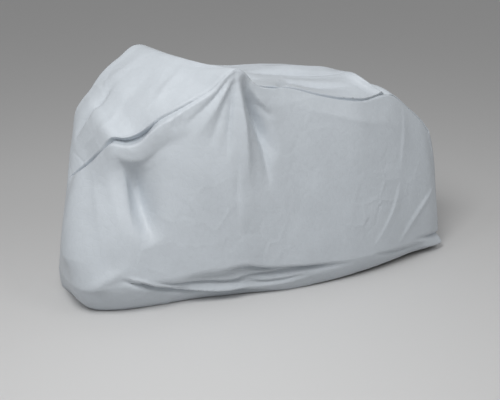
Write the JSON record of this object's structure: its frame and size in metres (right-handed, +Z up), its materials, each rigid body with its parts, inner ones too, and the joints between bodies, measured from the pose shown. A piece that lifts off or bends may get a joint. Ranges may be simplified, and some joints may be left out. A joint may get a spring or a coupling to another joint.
{
  "type": "bicycle cover",
  "caption": "Fitted cloth cover for a whole bicycle: two side panels sewn to a top gusset, hemmed along the ground, hollow and open below.",
  "frame": {"origin": "the point on the inner face of the top gusset where the bicycle's saddle carries the cover", "axes": "+X from the front of the bicycle to its rear, +Y from the near side to the far side, +Z up"},
  "size_m": [1.9381, 0.6041, 1.0977],
  "materials": {
    "silver_cloth": "silver-grey coated nylon, soft satin outside and matt grey inside",
    "hook_tape": "matt black woven hook tape"
  },
  "bodies": {
    "root": {"near_side_panel": "silver_cloth", "far_side_panel": "silver_cloth", "top_gusset": "silver_cloth", "hook_tape": "hook_tape"}
  },
  "joints": []
}
